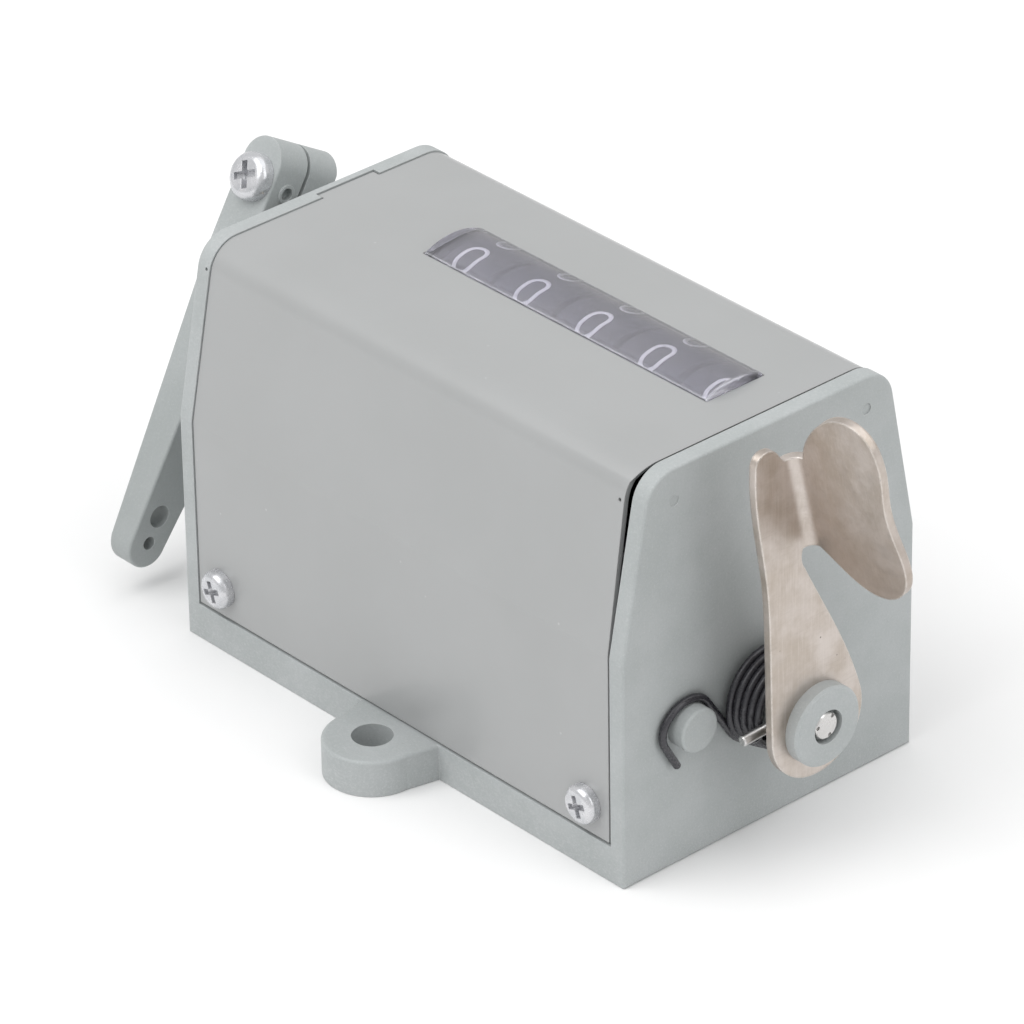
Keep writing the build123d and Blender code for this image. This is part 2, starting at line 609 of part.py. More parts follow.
def drive_arm():
    """Crank arm with a split clamp head, a clamp-screw hole and two link holes near the tip."""
    plane = arm_plane()
    blade = extrude(plane * arm_side_outline(), ARM_THICK)
    blade = fillet(blade.faces().sort_by(Axis.X)[-1].edges(), ARM_EDGE_R)
    end_r = ARM_THICK / 2
    low = ARM_TIP_S - ARM_TIP_R - 1
    front = area(
        Polyline((ARM_HEAD_END - end_r, 0), (low, 0), (low, ARM_TIP_THICK), (ARM_TAPER_START, ARM_THICK),
                 (ARM_HEAD_END - end_r, ARM_THICK)),
        ThreePointArc((ARM_HEAD_END - end_r, ARM_THICK), (ARM_HEAD_END, end_r), (ARM_HEAD_END - end_r, 0)),
    )
    edge_plane = Plane(plane.origin, x_dir=plane.x_dir, z_dir=-plane.y_dir)
    arm = blade & extrude(edge_plane * front, 2 * ARM_HALF, both=True)
    cuts = extrude(plane * Circle(DRIVE_SHAFT_R), ARM_THICK * 2, both=True)
    cuts += extrude(plane * Pos(PILOT_HOLE_S, ARM_TIP_T) * Circle(PILOT_HOLE_R), ARM_THICK, both=True)
    cuts += extrude(plane * Pos(LINK_HOLE_S, ARM_TIP_T) * Circle(LINK_HOLE_R), ARM_THICK, both=True)
    slit = Pos(ARM_HEAD_END, 0) * Rectangle(2 * ARM_HEAD_END, SLIT)
    cuts += extrude(plane * slit, ARM_THICK * 2, both=True)
    arm += extrude(plane * Pos(*DIMPLE) * Circle(DIMPLE_RIM_R), -DIMPLE_RIM)
    cuts += extrude(plane.offset(-DIMPLE_RIM) * Pos(*DIMPLE) * Circle(DIMPLE_R), DIMPLE_RIM + DIMPLE_DEPTH)
    return arm - cuts - clamp_plane(0) * Cylinder(CLAMP_R, 4 * ARM_HALF)


def clamp_plane(t):
    """Plane square to the clamp screw, t along the screw from the slit, normal out of the head's front."""
    plane = arm_plane(ARM_INNER_X - ARM_THICK / 2)
    origin = plane.origin + plane.x_dir * CLAMP_S + plane.y_dir * t
    return Plane(origin, x_dir=(1, 0, 0.6), z_dir=-plane.y_dir)


def clamp_screw():
    """Screw that pinches the split head on the drive shaft."""
    screw = pan_screw(CLAMP_HEAD_R, CLAMP_HEAD_H, CLAMP_R, 2 * ARM_HALF - 0.6)
    return clamp_plane(-ARM_HALF) * screw


def drive_shaft():
    """Shaft that the arm rocks, bored at its inner end for the wheel shaft's pilot."""
    axis = (WHEEL_Y, WHEEL_Z)
    shaft = rod(axis, DRIVE_SHAFT_R, *DRIVE_SHAFT_X)
    shaft -= rod(axis, PILOT_R + RUNNING, DRIVE_SHAFT_X[1] - 3.2, DRIVE_SHAFT_X[1] + 1)
    return shaft - tube(axis, DRIVE_SHAFT_R + 1, DRIVE_SHAFT_R - 0.5, -41.5, -40.7)


def drive_bush():
    """Flanged sleeve in the drive end's boss."""
    axis = (WHEEL_Y, WHEEL_Z)
    bush = tube(axis, DRIVE_BUSH_R, DRIVE_SHAFT_R + RUNNING, DRIVE_BOSS_X, -INNER)
    return bush + tube(axis, DRIVE_BUSH_R + 0.4, DRIVE_SHAFT_R + RUNNING, -INNER, -INNER + 0.7)


def reset_bush():
    """Plain sleeve in the reset end's boss."""
    return tube((RESET_Y, RESET_Z), RESET_BUSH_R, RESET_SHAFT_R + RUNNING, INNER - 0.3, RESET_BOSS_X)


def drive_clip():
    """Open retaining clip in the drive shaft's groove."""
    axis = (WHEEL_Y, WHEEL_Z)
    clip = tube(axis, 4.2, DRIVE_SHAFT_R - 0.5, -41.5, -40.7)
    return clip - block((-42, -40), (WHEEL_Y - 1.4, WHEEL_Y + 1.4), (WHEEL_Z, WHEEL_Z + 6))


def drive_spring():
    """Return spring round the drive shaft; one leg in the end plate, the other against the carrier."""
    axis = (WHEEL_Y, WHEEL_Z)
    turns = 6 + 172 / 360
    body = coil(axis, (DRIVE_COIL_R, DRIVE_COIL_R), DRIVE_WIRE_R, *DRIVE_COIL_X, turns, 0)
    for angle, x0, x1 in ((0, -INNER - 1.5, DRIVE_COIL_X[0]), (172, DRIVE_COIL_X[1], CARRIER_X[1])):
        point = polar(DRIVE_COIL_R, angle, axis)
        body += rod(point, DRIVE_WIRE_R, x0, x1)
        elbow = DRIVE_COIL_X[0] if angle == 0 else DRIVE_COIL_X[1]
        body += Pos(elbow, *point) * Sphere(DRIVE_WIRE_R * 1.08)
    return body


def pawl_carrier():
    """Plate fixed on the drive shaft that swings the drive pawl's stud."""
    pivot = polar(PAWL_PIVOT_R, PAWL_PIVOT_ANGLE)
    side = polar(1.7, PAWL_PIVOT_ANGLE + 90)
    ends = (pivot[0] + side[0], pivot[1] + side[1]), (pivot[0] - side[0], pivot[1] - side[1])
    web = polygon([side, *ends, (-side[0], -side[1])])
    outline = Circle(4.0) + Pos(*pivot) * Circle(1.7) + web
    plate = slab(outline - Pos(*pivot) * Circle(PAWL_STUD_R), *CARRIER_X)
    plate -= rod((0, 0), DRIVE_SHAFT_R, CARRIER_X[0] - 1, CARRIER_X[1] + 1)
    return Pos(0, WHEEL_Y, WHEEL_Z) * plate


def pawl_stud():
    """Stud that the drive pawl swings on."""
    pivot = polar(PAWL_PIVOT_R, PAWL_PIVOT_ANGLE, (WHEEL_Y, WHEEL_Z))
    return rod(pivot, PAWL_STUD_R, CARRIER_X[0], RATCHET_X[1] + 0.1)


def drive_pawl():
    """Curved pawl lying just outside the ratchet's tips."""
    inner = RATCHET_R + PAWL_GAP
    outer = inner + 1.6
    middle = (PAWL_NOSE_ANGLE + PAWL_PIVOT_ANGLE) / 2
    nose = polar(inner, PAWL_NOSE_ANGLE)
    heel = (polar(inner, PAWL_PIVOT_ANGLE), polar(outer, PAWL_PIVOT_ANGLE))
    outline = area(
        ThreePointArc(nose, polar(inner, middle), heel[0]),
        Line(*heel),
        ThreePointArc(heel[1], polar(outer, middle), polar(outer, PAWL_NOSE_ANGLE + 4)),
        Line(polar(outer, PAWL_NOSE_ANGLE + 4), nose),
    )
    pivot = Pos(*polar(PAWL_PIVOT_R, PAWL_PIVOT_ANGLE))
    outline = outline + pivot * Circle(1.85) - pivot * Circle(PAWL_STUD_R + 0.06)
    return Pos(0, WHEEL_Y, WHEEL_Z) * slab(outline, RATCHET_X[0] - 0.1, RATCHET_X[1] + 0.1)


def pawl_spring():
    """Light coil that keeps the drive pawl down."""
    pivot = polar(PAWL_PIVOT_R, PAWL_PIVOT_ANGLE, (WHEEL_Y, WHEEL_Z))
    return coil(pivot, (1.75, 1.75), 0.25, CARRIER_X[1] + 0.4, RATCHET_X[0] - 0.5, 4, 0)


def ratchet_wheel():
    """Ten-tooth ratchet whose sleeve and flange fix it inside the units drum."""
    step = 360 / RATCHET_TEETH
    points = []
    for tooth in range(RATCHET_TEETH):
        points.append(polar(RATCHET_ROOT_R, tooth * step))
        for part in range(1, 4):
            radius = RATCHET_ROOT_R + (RATCHET_R - RATCHET_ROOT_R) * part / 3
            points.append(polar(radius, (tooth + part / 3 * 0.999) * step))
    wheel = slab(polygon(points), *RATCHET_X)
    flange_x = (wheel_x(0) - WHEEL_WIDTH / 2 + 0.9, wheel_x(0) - WHEEL_WIDTH / 2 + 2.1)
    wheel += rod((0, 0), 3.4, RATCHET_X[0], flange_x[1])
    wheel += rod((0, 0), WHEEL_INNER_R, *flange_x)
    wheel -= rod((0, 0), SHAFT_R + RUNNING, RATCHET_X[0] - 1, flange_x[1] + 1)
    return Pos(0, WHEEL_Y, WHEEL_Z) * wheel


def detent_pawl():
    """Straight holding pawl from its stud to the ratchet's tips."""
    pivot = (DETENT[0] - WHEEL_Y, DETENT[1] - WHEEL_Z)
    nose = polar(RATCHET_R + PAWL_GAP, -20)
    heel = polar(RATCHET_R + PAWL_GAP + 1.6, -14)
    outline = polygon([nose, (pivot[0] - 1.2, pivot[1] - 1.6), (pivot[0] + 1.6, pivot[1] + 1.4), heel])
    outline = outline + Pos(*pivot) * Circle(2.6) - Pos(*pivot) * Circle(DETENT_STUD_R + 0.06)
    return Pos(0, WHEEL_Y, WHEEL_Z) * slab(outline, RATCHET_X[0] - 0.1, RATCHET_X[1] + 0.1)


def main():
    parts = {
        "frame": frame(),
        "cover": cover(),
        "cover_screws": Compound(children=cover_screws()),
        "window_lens": window_lens(),
        "drive_bush": drive_bush(),
        "reset_bush": reset_bush(),
        "key_bar": rod(KEY_BAR, KEY_BAR_R, -INNER - 1.2, INNER + 1.2),
        "transfer_plates": Compound(children=[transfer_plate(index) for index in range(4)]),
        "detent_stud": rod(DETENT, DETENT_STUD_R, -INNER - 1.2, RATCHET_X[1] + 0.5),
        "reset_spring": reset_spring(),
        "drive_spring": drive_spring(),
        "detent_spring": coil(DETENT, (2.05, 2.05), 0.3, CARRIER_X[1] + 0.4, RATCHET_X[0] - 0.5, 4, 0),
        "reset_lever": reset_lever(),
        "reset_hub": reset_hub(),
        "reset_cap": reset_cap(),
        "reset_shaft": reset_shaft(),
        "reset_pin": reset_pin(),
        "reset_sector": reset_sector(),
        "sector_pin": sector_pin(),
        "drive_arm": drive_arm(),
        "clamp_screw": clamp_screw(),
        "drive_shaft": drive_shaft(),
        "drive_clip": drive_clip(),
        "pawl_carrier": pawl_carrier(),
        "pawl_stud": pawl_stud(),
        "pawl_spring": pawl_spring(),
        "drive_pawl": drive_pawl(),
        "detent_pawl": detent_pawl(),
        "wheel_shaft": wheel_shaft(),
        "reset_pinion": reset_pinion(),
        "ratchet_wheel": ratchet_wheel(),
    }
    for index, name in enumerate(WHEEL_NAMES):
        parts["wheel_" + name] = number_wheel(index)
        parts["zero_leaf_" + name] = zero_leaf(index)
        if index > 0:
            parts["transfer_pinion_" + name] = transfer_pinion(index - 1)
    os.makedirs("parts", exist_ok=True)
    for name, part in parts.items():
        export_step(part, "parts/" + name + ".step")


main()
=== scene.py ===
"""Looks for the lever-driven tally counter: finishes, digits, two springs, light and camera."""

import json
import math

import bpy
from mathutils import Matrix, Vector


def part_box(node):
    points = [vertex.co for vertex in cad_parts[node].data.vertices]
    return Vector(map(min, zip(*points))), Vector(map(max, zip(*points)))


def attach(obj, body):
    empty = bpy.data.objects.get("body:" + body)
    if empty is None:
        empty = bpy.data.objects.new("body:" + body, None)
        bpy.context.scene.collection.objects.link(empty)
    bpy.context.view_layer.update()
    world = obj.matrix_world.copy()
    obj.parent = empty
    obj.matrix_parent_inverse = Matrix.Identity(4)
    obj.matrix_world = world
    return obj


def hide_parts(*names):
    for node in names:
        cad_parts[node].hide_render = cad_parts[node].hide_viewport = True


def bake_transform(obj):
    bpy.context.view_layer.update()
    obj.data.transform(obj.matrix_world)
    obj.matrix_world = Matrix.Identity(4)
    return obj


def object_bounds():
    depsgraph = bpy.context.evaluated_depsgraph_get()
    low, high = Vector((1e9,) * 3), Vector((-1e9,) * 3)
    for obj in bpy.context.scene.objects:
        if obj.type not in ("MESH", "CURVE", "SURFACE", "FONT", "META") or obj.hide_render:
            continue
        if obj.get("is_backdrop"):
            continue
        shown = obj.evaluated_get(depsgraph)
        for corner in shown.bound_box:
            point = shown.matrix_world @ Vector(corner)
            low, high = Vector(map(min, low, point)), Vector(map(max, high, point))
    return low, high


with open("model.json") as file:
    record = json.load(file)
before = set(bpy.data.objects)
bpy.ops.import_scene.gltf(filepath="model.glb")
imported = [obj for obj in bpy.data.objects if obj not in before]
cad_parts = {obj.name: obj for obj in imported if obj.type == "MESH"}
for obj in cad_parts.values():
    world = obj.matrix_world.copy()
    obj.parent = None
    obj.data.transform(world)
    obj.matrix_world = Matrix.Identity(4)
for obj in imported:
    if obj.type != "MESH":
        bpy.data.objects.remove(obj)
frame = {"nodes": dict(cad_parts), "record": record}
NODES = frame["nodes"]
CAD_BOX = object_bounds()
MM = 0.001

# Where a finish changes along an axis of the frame.
FOOT_Z = (0.5 * MM, 7.5 * MM)
ARM_SIDE_X = (-57.5 * MM, -55.5 * MM)
# Heights over which the painted shade on the arm side fades out.
ARM_SHADE_Z = (20 * MM, 45 * MM)
LEAF_ROOT_X = (57 * MM, 59 * MM)
# Heights over which the painted darker, warmer reflection low on the leaf fades out.
LEAF_REFLECTION_Z = (46 * MM, 64 * MM)

WHEEL_NAMES = ("units", "tens", "hundreds", "thousands", "ten_thousands")


def middle(node):
    """Centre of a node's box."""
    low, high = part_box(node)
    return (low + high) / 2


def node_radius(node):
    """Radius of a round node whose axis runs along X."""
    low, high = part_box(node)
    return (high.z - low.z) / 2


# ---------------------------------------------------------------- materials


class Finish:
    """One procedural material, built node by node in the row frame's own coordinates."""

    def __init__(self, name):
        self.material = bpy.data.materials.new(name)
        self.material.use_nodes = True
        self.tree = self.material.node_tree
        self.tree.nodes.clear()
        self.output = self.add("ShaderNodeOutputMaterial")
        self.shader = self.add("ShaderNodeBsdfPrincipled")
        self.link(self.shader.outputs["BSDF"], self.output.inputs["Surface"])
        self.place = self.add("ShaderNodeTexCoord").outputs["Object"]

    def add(self, kind, **settings):
        node = self.tree.nodes.new(kind)
        for key, value in settings.items():
            setattr(node, key, value)
        return node

    def link(self, source, target):
        self.tree.links.new(source, target)

    def set(self, **values):
        """Constants straight on the shader's sockets; underscores in the names stand for spaces."""
        for key, value in values.items():
            self.shader.inputs[key.replace("_", " ")].default_value = value

    def stretched(self, scale):
        """Coordinates scaled per axis."""
        mapping = self.add("ShaderNodeMapping")
        mapping.inputs["Scale"].default_value = scale
        self.link(self.place, mapping.inputs["Vector"])
        return mapping.outputs["Vector"]

    def noise(self, size_mm, detail=4.0, rough=0.55, stretch=(1, 1, 1)):
        """Noise whose blobs are about size_mm across."""
        node = self.add("ShaderNodeTexNoise")
        node.inputs["Scale"].default_value = 1 / (size_mm * MM)
        node.inputs["Detail"].default_value = detail
        node.inputs["Roughness"].default_value = rough
        self.link(self.stretched(stretch), node.inputs["Vector"])
        return node.outputs["Fac"]

    def cells(self, size_mm):
        """Distance to scattered points about size_mm apart."""
        node = self.add("ShaderNodeTexVoronoi")
        node.inputs["Scale"].default_value = 1 / (size_mm * MM)
        self.link(self.place, node.inputs["Vector"])
        return node.outputs["Distance"]

    def ramp(self, value, low, high, first=0.0, last=1.0):
        """value from low..high mapped to first..last and clamped."""
        node = self.add("ShaderNodeMapRange", clamp=True, interpolation_type="SMOOTHSTEP")
        for key, number in (("From Min", low), ("From Max", high), ("To Min", first), ("To Max", last)):
            node.inputs[key].default_value = number
        self.link(value, node.inputs["Value"])
        return node.outputs["Result"]

    def math(self, operation, a, b):
        """One math step; either side may be a number."""
        node = self.add("ShaderNodeMath", operation=operation)
        for index, value in enumerate((a, b)):
            if isinstance(value, (int, float)):
                node.inputs[index].default_value = value
            else:
                self.link(value, node.inputs[index])
        return node.outputs["Value"]

    def blend(self, mask, first, second):
        """first where mask is 0, second where it is 1; each is a colour or a socket."""
        node = self.add("ShaderNodeMix", data_type="RGBA")
        self.link(mask, node.inputs["Factor"])
        for socket, value in ((node.inputs[6], first), (node.inputs[7], second)):
            if isinstance(value, tuple):
                socket.default_value = (*value, 1.0)
            else:
                self.link(value, socket)
        return node.outputs[2]

    def axis(self, name):
        """One coordinate in metres."""
        split = self.add("ShaderNodeSeparateXYZ")
        self.link(self.place, split.inputs["Vector"])
        return split.outputs[name]

    def edges(self, radius_mm, low=0.02, high=0.25):
        """Mask that is 1 along sharp edges, from how far a rounded normal leaves the true one."""
        bevel = self.add("ShaderNodeBevel", samples=4)
        bevel.inputs["Radius"].default_value = radius_mm * MM
        geometry = self.add("ShaderNodeNewGeometry")
        dot = self.add("ShaderNodeVectorMath", operation="DOT_PRODUCT")
        self.link(bevel.outputs["Normal"], dot.inputs[0])
        self.link(geometry.outputs["Normal"], dot.inputs[1])
        return self.ramp(self.math("SUBTRACT", 1.0, dot.outputs["Value"]), low, high)

    def colour(self, socket):
        self.link(socket, self.shader.inputs["Base Color"])

    def roughness(self, socket):
        self.link(socket, self.shader.inputs["Roughness"])

    def relief(self, heights, soften_mm=0.0):
        """Bumps from (height socket, depth in mm) pairs, over edges rounded by soften_mm."""
        normal = None
        if soften_mm:
            bevel = self.add("ShaderNodeBevel", samples=4)
            bevel.inputs["Radius"].default_value = soften_mm * MM
            normal = bevel.outputs["Normal"]
        for height, depth in heights:
            bump = self.add("ShaderNodeBump")
            bump.inputs["Distance"].default_value = depth * MM
            self.link(height, bump.inputs["Height"])
            if normal is not None:
                self.link(normal, bump.inputs["Normal"])
            normal = bump.outputs["Normal"]
        self.link(normal, self.shader.inputs["Normal"])


def moulded_plastic():
    """Grey-green moulding: faint clouds, fine pale grain, lighter flecks towards the bottom, painted
    highlights on the rims and painted shade low on the arm.
    """
    m = Finish("moulded_plastic")
    clouds = m.noise(9, 5)
    base = m.blend(m.ramp(clouds, 0.3, 0.7), (0.362, 0.386, 0.385), (0.4, 0.422, 0.424))
    grain = m.noise(0.3, 4, 0.7)
    base = m.blend(m.ramp(grain, 0.5, 0.74, 0, 0.42), base, (0.52, 0.54, 0.54))
    base = m.blend(m.ramp(m.noise(0.42, 4, 0.65), 0.56, 0.72, 0, 0.35), base, (0.3, 0.32, 0.32))
    # Lighter flecks, strongest towards the bottom.
    foot = m.ramp(m.axis("Z"), *FOOT_Z, 0.3, 0.12)
    lighter_flecks = m.ramp(m.noise(0.3, 5, 0.8, (0.6, 1, 1)), 0.48, 0.62)
    base = m.blend(m.math("MULTIPLY", foot, lighter_flecks), base, (0.6, 0.61, 0.61))
    # Painted shade: the arm side is made darker towards its lower end.
    on_arm = m.ramp(m.axis("X"), *ARM_SIDE_X, 1.0, 0.0)
    arm_painted_shade = m.math("MULTIPLY", on_arm, m.ramp(m.axis("Z"), *ARM_SHADE_Z, 0.35, 0.0))
    base = m.blend(arm_painted_shade, base, (0.22, 0.24, 0.235))
    # Painted highlight: rims made lighter along sharp edges, patchy along their length.
    plastic_rim_highlight = m.math("MULTIPLY", m.edges(0.22), m.ramp(m.noise(1.4, 4), 0.38, 0.62, 0.35, 0.85))
    m.colour(m.blend(plastic_rim_highlight, base, (0.6, 0.62, 0.62)))
    m.roughness(m.ramp(m.noise(1.6, 5), 0.3, 0.7, 0.42, 0.58))
    m.relief([(grain, 0.009), (m.noise(2.5, 3), 0.015)], 0.13)
    m.set(Specular_IOR_Level=0.45)
    return m.material


def cover_enamel():
    """Semi-gloss grey enamel on sheet steel: slight orange peel, a few dust specks, thin dark edges."""
    m = Finish("cover_enamel")
    clouds = m.noise(26, 3)
    base = m.blend(m.ramp(clouds, 0.3, 0.7), (0.34, 0.347, 0.347), (0.354, 0.361, 0.362))
    dust = m.ramp(m.cells(3.8), 0.06, 0.042)
    dust = m.math("MULTIPLY", dust, m.ramp(m.noise(6, 2), 0.52, 0.6))
    base = m.blend(m.math("MULTIPLY", dust, 0.45), base, (0.54, 0.55, 0.55))
    dark = m.math("MULTIPLY", m.edges(0.22), m.ramp(m.noise(2, 4), 0.35, 0.65, 0.25, 0.8))
    m.colour(m.blend(dark, base, (0.24, 0.246, 0.24)))
    m.roughness(m.ramp(m.noise(8, 4), 0.3, 0.7, 0.28, 0.35))
    m.relief([(m.noise(1.3, 2), 0.008), (m.noise(0.3, 2), 0.0012)], 0.2)
    m.set(Coat_Weight=0.35, Coat_Roughness=0.14, Coat_IOR=1.5)
    return m.material


def clear_lens():
    """Clear plastic with a faint cool cast, moulding swirl, fine scratches and painted highlights on the
    rims, where it is made whitish and less clear.

    Its refraction is weaker than acrylic's 1.49, at which a pale strip hides the foot of each digit.
    """
    m = Finish("clear_lens")
    swirl = m.noise(5, 3, 0.5, (0.4, 1, 1))
    base = m.blend(m.ramp(swirl, 0.3, 0.7), (0.84, 0.835, 0.925), (0.89, 0.88, 0.95))
    # Painted highlight: the rims are made whitish and less clear, standing in for their bright
    # reflection.
    painted_rim_highlight = m.math("MULTIPLY", m.edges(0.5, 0.01, 0.12), m.ramp(m.noise(0.8, 4), 0.3, 0.7, 0.6, 1.0))
    m.colour(m.blend(painted_rim_highlight, base, (0.86, 0.87, 0.9)))
    m.link(m.ramp(painted_rim_highlight, 0.0, 1.0, 0.9, 0.45), m.shader.inputs["Transmission Weight"])
    scratches = m.ramp(m.noise(0.9, 5, 0.7, (0.12, 1, 1)), 0.56, 0.7)
    m.roughness(m.ramp(m.math("MAXIMUM", scratches, painted_rim_highlight), 0, 1, 0.04, 0.2))
    m.relief([(m.noise(3.5, 2), 0.015)], 0.2)
    m.set(IOR=1.24, Coat_Weight=0.5, Coat_Roughness=0.05)
    return m.material


def nickel_plate():
    """Warm satin nickel over pressed steel: rolling lines, cloudy patches, pits and dark specks, painted
    highlights on the rims broken by pits and painted dark reflection, and a painted darker, warmer
    reflection low on the leaf.
    """
    m = Finish("nickel_plate")
    patches = m.noise(6, 6, 0.62)
    base = m.blend(m.ramp(patches, 0.32, 0.68), (0.48, 0.42, 0.365), (0.6, 0.545, 0.505))
    lines = m.noise(0.32, 6, 0.7, (1, 1, 0.045))
    cross = m.noise(0.5, 5, 0.7, (1, 0.08, 1))
    base = m.blend(m.ramp(lines, 0.45, 0.7, 0, 0.35), base, (0.68, 0.62, 0.59))
    base = m.blend(m.ramp(cross, 0.52, 0.75, 0, 0.25), base, (0.36, 0.31, 0.27))
    pits = m.ramp(m.cells(2.6), 0.075, 0.04)
    pits = m.math("MULTIPLY", pits, m.ramp(m.noise(5, 2), 0.52, 0.6))
    base = m.blend(pits, base, (0.12, 0.1, 0.09))
    # Painted reflection: the leaf past the bend is made darker and warmer low down.
    past_bend = m.ramp(m.axis("X"), *LEAF_ROOT_X)
    leaf_painted_reflection = m.math("MULTIPLY", past_bend, m.ramp(m.axis("Z"), *LEAF_REFLECTION_Z, 0.55, 0.0))
    base = m.blend(leaf_painted_reflection, base, (0.36, 0.295, 0.25))
    # Painted highlight on the rims, broken by patches that are partly pits and partly painted dark
    # reflection.
    painted_rim_highlight = m.math("MULTIPLY", m.edges(0.4), m.ramp(m.noise(0.7, 5, 0.7), 0.35, 0.6, 0.5, 0.95))
    rim_pits_and_dark_reflection = m.ramp(m.noise(0.45, 4, 0.7), 0.56, 0.68, 0.0, 0.8)
    base = m.blend(painted_rim_highlight, base, (0.88, 0.84, 0.8))
    m.colour(m.blend(m.math("MULTIPLY", painted_rim_highlight, rim_pits_and_dark_reflection), base, (0.3, 0.25, 0.22)))
    m.roughness(m.ramp(m.noise(1.8, 6, 0.7), 0.3, 0.7, 0.34, 0.5))
    m.relief([(lines, 0.006), (cross, 0.003), (m.noise(2.4, 4), 0.03)], 0.4)
    m.set(Metallic=1.0)
    return m.material


def bright_zinc():
    """Bright zinc plate on the screws and stampings."""
    m = Finish("bright_zinc")
    tint = m.noise(1.6, 4)
    m.colour(m.blend(m.ramp(tint, 0.3, 0.7), (0.56, 0.57, 0.59), (0.68, 0.68, 0.7)))
    m.roughness(m.ramp(m.noise(0.7, 5, 0.7), 0.3, 0.7, 0.16, 0.32))
    m.relief([(m.noise(0.5, 4), 0.02)], 0.18)
    m.set(Metallic=0.6)
    return m.material


def ground_steel():
    """Turned and ground steel, with rings about X."""
    m = Finish("ground_steel")
    rings = m.noise(0.25, 3, 0.5, (1, 0.02, 0.02))
    m.colour(m.blend(m.ramp(rings, 0.3, 0.7), (0.56, 0.55, 0.54), (0.66, 0.65, 0.64)))
    m.roughness(m.ramp(m.noise(1.2, 4), 0.3, 0.7, 0.22, 0.38))
    m.relief([(rings, 0.002)], 0.15)
    m.set(Metallic=1.0)
    return m.material


def black_wire():
    """Oil-black spring wire with a thin sheen and rubbed patches."""
    m = Finish("black_wire")
    rub = m.ramp(m.noise(1.2, 5, 0.7), 0.58, 0.74, 0, 0.5)
    m.colour(m.blend(rub, (0.036, 0.035, 0.041), (0.075, 0.075, 0.084)))
    m.roughness(m.ramp(m.noise(0.8, 4), 0.3, 0.7, 0.2, 0.34))
    m.relief([(m.noise(0.35, 4), 0.006)])
    m.set(Metallic=0.15, Specular_IOR_Level=0.6)
    return m.material


def turned_brass():
    """Turned brass, a little tarnished."""
    m = Finish("turned_brass")
    tarnish = m.noise(1.8, 5)
    m.colour(m.blend(m.ramp(tarnish, 0.35, 0.7), (0.72, 0.53, 0.24), (0.48, 0.33, 0.15)))
    m.roughness(m.ramp(tarnish, 0.3, 0.7, 0.22, 0.42))
    m.relief([(m.noise(0.2, 3, 0.5, (1, 0.05, 0.05)), 0.004)], 0.1)
    m.set(Metallic=1.0)
    return m.material


def black_drum():
    """Black moulded number drum with a faint ring texture."""
    m = Finish("black_drum")
    clouds = m.noise(4, 4)
    m.colour(m.blend(m.ramp(clouds, 0.3, 0.7), (0.02, 0.02, 0.026), (0.034, 0.034, 0.042)))
    m.roughness(m.ramp(m.noise(0.9, 4), 0.3, 0.7, 0.4, 0.58))
    m.relief([(m.noise(0.3, 3, 0.5, (1, 0.1, 0.1)), 0.006)], 0.12)
    return m.material


def digit_paint():
    """White pad-printed ink, thin in places."""
    m = Finish("digit_paint")
    thin = m.ramp(m.noise(0.35, 5, 0.7), 0.6, 0.8, 0, 0.4)
    m.colour(m.blend(thin, (0.93, 0.93, 0.92), (0.6, 0.6, 0.6)))
    m.roughness(m.ramp(m.noise(0.4, 3), 0.3, 0.7, 0.5, 0.7))
    m.relief([(m.noise(0.25, 3), 0.006)])
    return m.material


def white_acetal():
    """Natural acetal gears."""
    m = Finish("white_acetal")
    clouds = m.noise(2.5, 4)
    m.colour(m.blend(m.ramp(clouds, 0.3, 0.7), (0.78, 0.78, 0.74), (0.85, 0.85, 0.82)))
    m.roughness(m.ramp(m.noise(0.9, 4), 0.3, 0.7, 0.3, 0.45))
    m.relief([(m.noise(0.4, 3), 0.005)], 0.1)
    m.set(Subsurface_Weight=0.08, Subsurface_Scale=0.001)
    return m.material


def paper_floor():
    """Plain pale studio floor with the least tooth."""
    m = Finish("paper_floor")
    m.colour(m.blend(m.ramp(m.noise(60, 3), 0.3, 0.7), (0.86, 0.86, 0.86), (0.88, 0.88, 0.88)))
    m.roughness(m.ramp(m.noise(2, 3), 0.3, 0.7, 0.75, 0.85))
    return m.material


FINISHES = {
    "housing_plastic": moulded_plastic(),
    "cover_paint": cover_enamel(),
    "lens": clear_lens(),
    "nickel_plate": nickel_plate(),
    "zinc_steel": bright_zinc(),
    "shaft_steel": ground_steel(),
    "spring_wire": ground_steel(),
    "black_wire": black_wire(),
    "bush_brass": turned_brass(),
    "wheel_black": black_drum(),
    "white_acetal": white_acetal(),
}
PAINT = digit_paint()


def dress_cad_nodes():
    """Gives every CAD node the finish of its record slot."""
    for part in frame["record"]["subparts"]:
        mesh = NODES[part["node"]].data
        mesh.materials.clear()
        mesh.materials.append(FINISHES[part["material_slot"]])


# ---------------------------------------------------------------- mesh helpers


def mesh_object(name, points, faces, material, smooth=True):
    """A new object from points in metres and faces."""
    mesh = bpy.data.meshes.new(name)
    mesh.from_pydata(points, [], faces)
    mesh.validate()
    for polygon in mesh.polygons:
        polygon.use_smooth = smooth
    mesh.materials.append(material)
    made = bpy.data.objects.new(name, mesh)
    bpy.context.scene.collection.objects.link(made)
    return made


